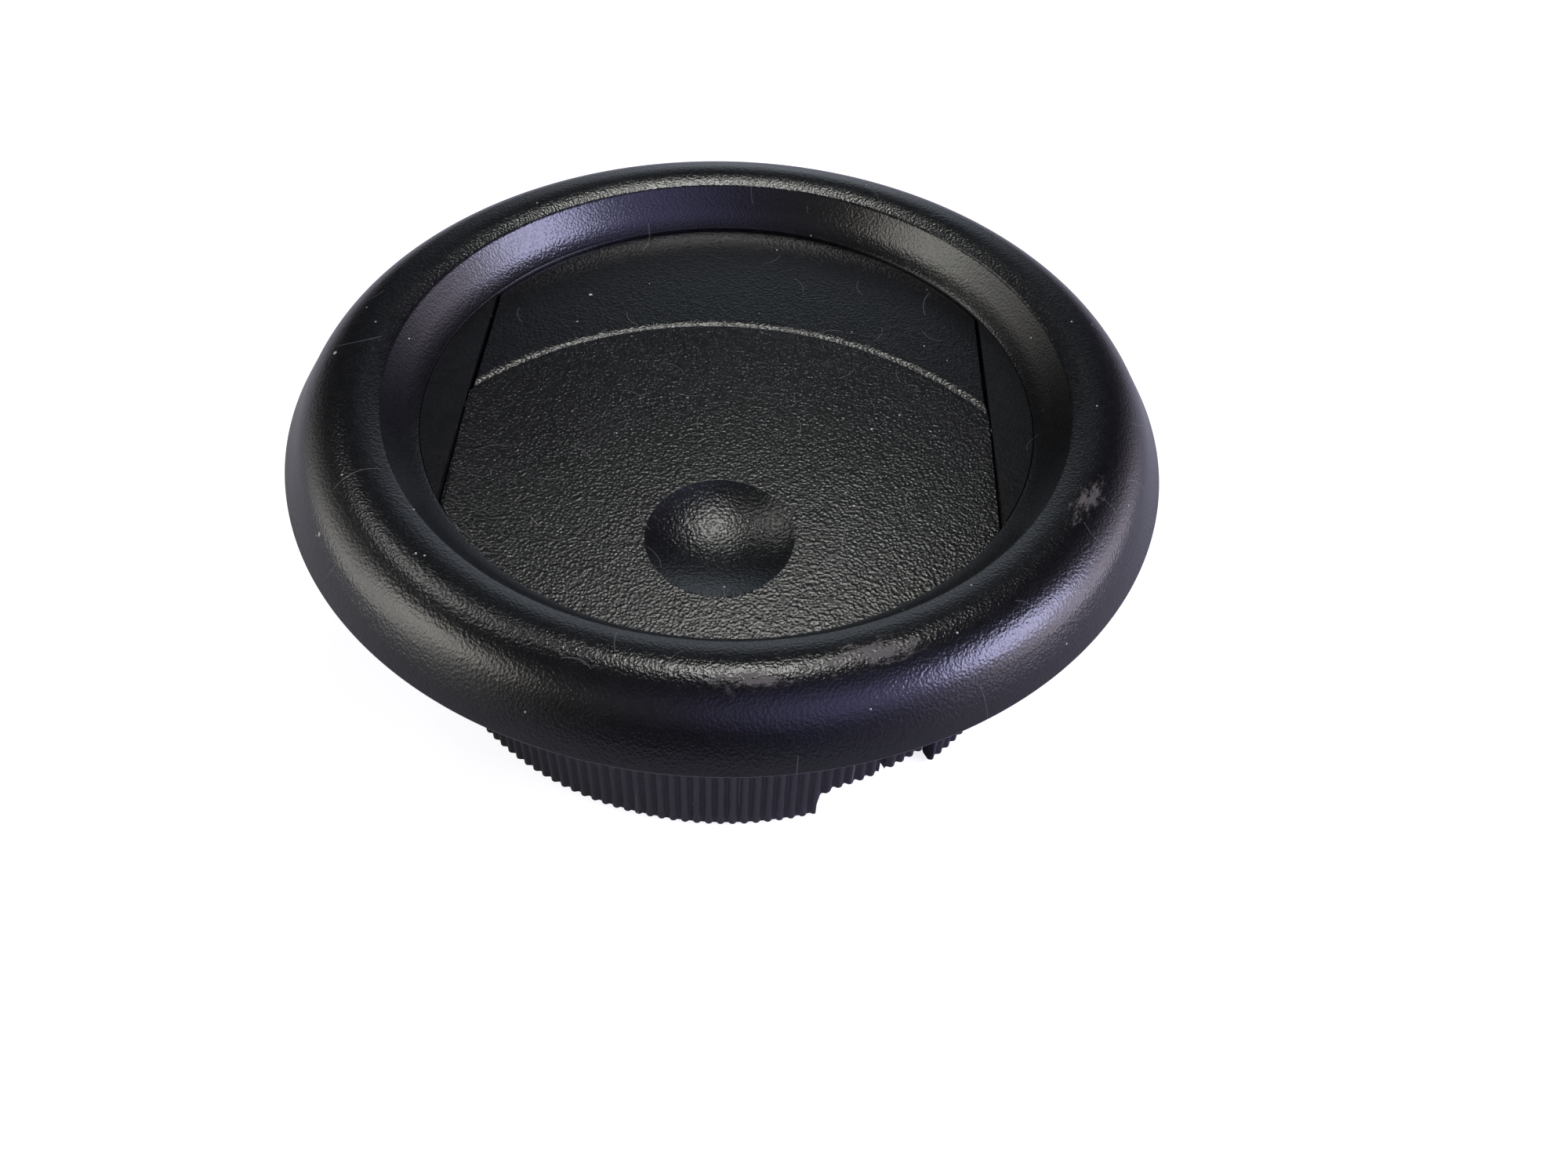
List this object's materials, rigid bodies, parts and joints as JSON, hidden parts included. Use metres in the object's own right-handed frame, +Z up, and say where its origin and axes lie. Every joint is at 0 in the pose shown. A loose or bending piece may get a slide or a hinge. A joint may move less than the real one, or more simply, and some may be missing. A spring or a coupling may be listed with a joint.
{
  "type": "desk cable grommet",
  "caption": "Round desk cable grommet: domed rim, ribbed sleeve and a turning insert whose thumb-dimpled flap tilts open for cables.",
  "frame": {"origin": "centre of the sleeve's foot, where the grommet stands on a table", "axes": "+Z up along the sleeve's centre line, out of the desk; the flap tilts about X; -Y is the dimpled side of the flap that goes down"},
  "size_m": [0.1012, 0.1012, 0.0356],
  "materials": {
    "grained_plastic": "fine moulded grain, satin",
    "insert_plastic": "fine moulded grain, satin",
    "sleeve_plastic": "as moulded, semi matte",
    "pin_steel": "bright drawn wire"
  },
  "bodies": {
    "housing": {"rim": "grained_plastic", "sleeve": "sleeve_plastic"},
    "insert": {"carrier": "insert_plastic"},
    "flap": {"flap": "grained_plastic", "hinge_pin_left": "pin_steel", "hinge_pin_right": "pin_steel"}
  },
  "joints": [
    {"name": "insert_turn", "type": "hinge", "parent": "housing", "child": "insert", "pos_m": [0, 0, 0.0225], "axis": [0, 0, 1], "continuous": true},
    {"name": "flap_tilt", "type": "hinge", "parent": "insert", "child": "flap", "pos_m": [0, 0, 0.027], "axis": [1, 0, 0], "range_deg": [0, 41]}
  ]
}
